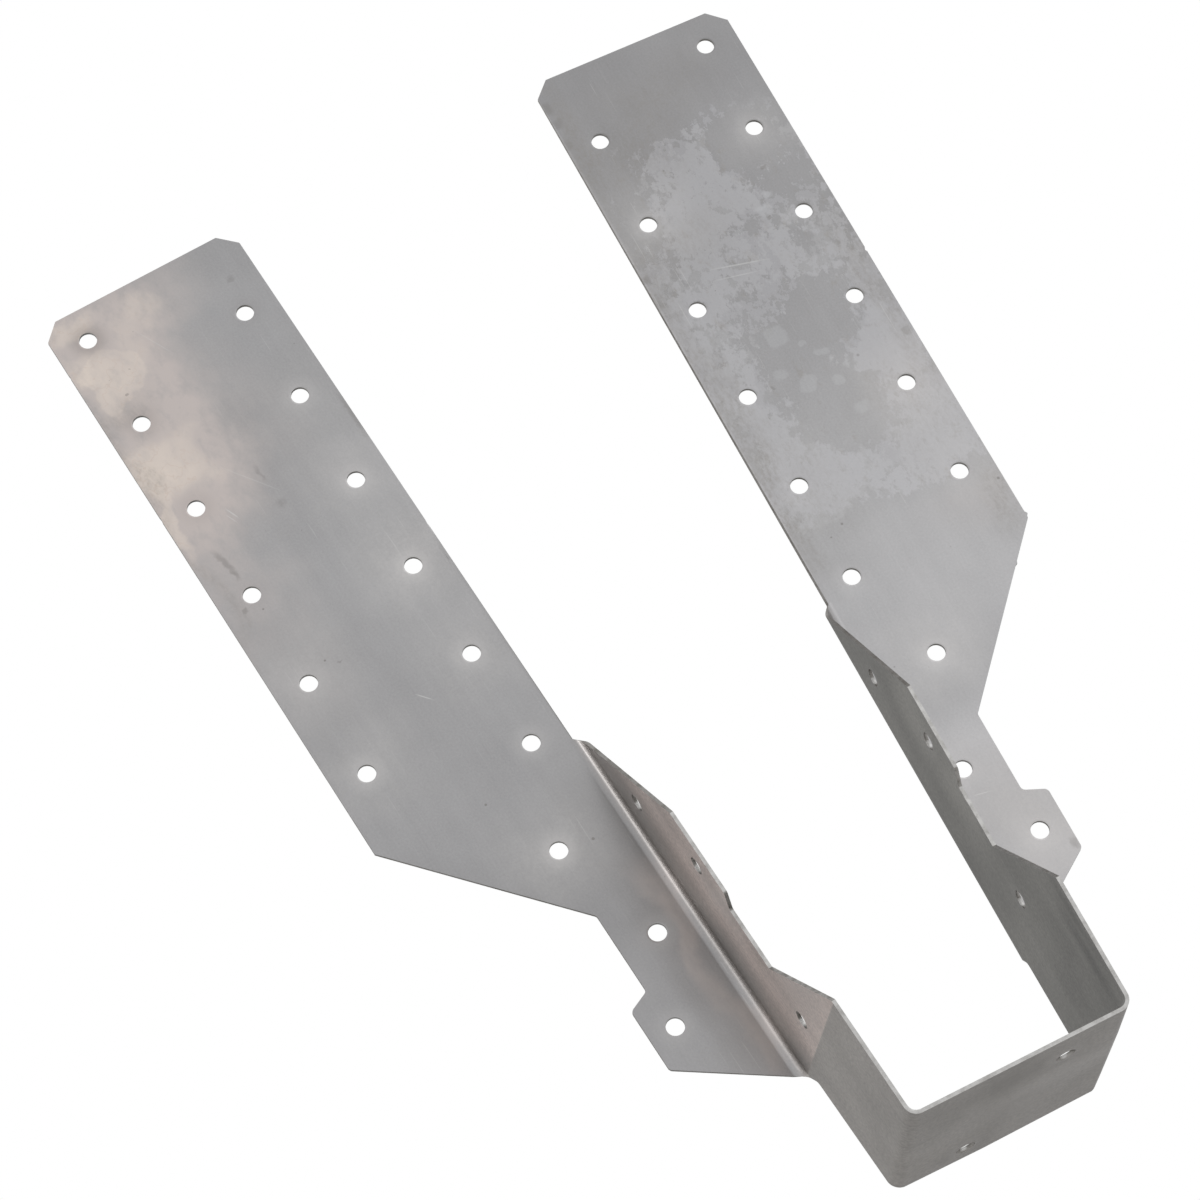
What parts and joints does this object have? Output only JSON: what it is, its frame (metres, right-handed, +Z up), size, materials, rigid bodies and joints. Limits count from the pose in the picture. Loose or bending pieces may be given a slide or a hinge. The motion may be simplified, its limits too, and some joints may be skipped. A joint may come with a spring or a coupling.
{
  "type": "joist hanger",
  "caption": "Long leg face fix joist hanger folded from one stainless steel sheet, with a shallow stirrup, stepped side walls, two perforated legs and nail tabs.",
  "frame": {"origin": "middle of the seat's top face, between the side walls and halfway along the strap", "axes": "+X across the joist to the right leg, +Y along the joist towards the header, +Z up"},
  "size_m": [0.1778, 0.0572, 0.2739],
  "materials": {
    "steel": "dull mill finish stainless sheet with water stains, faint heat tint and fine scratches"
  },
  "bodies": {
    "root": {"hanger": "steel"}
  },
  "joints": []
}
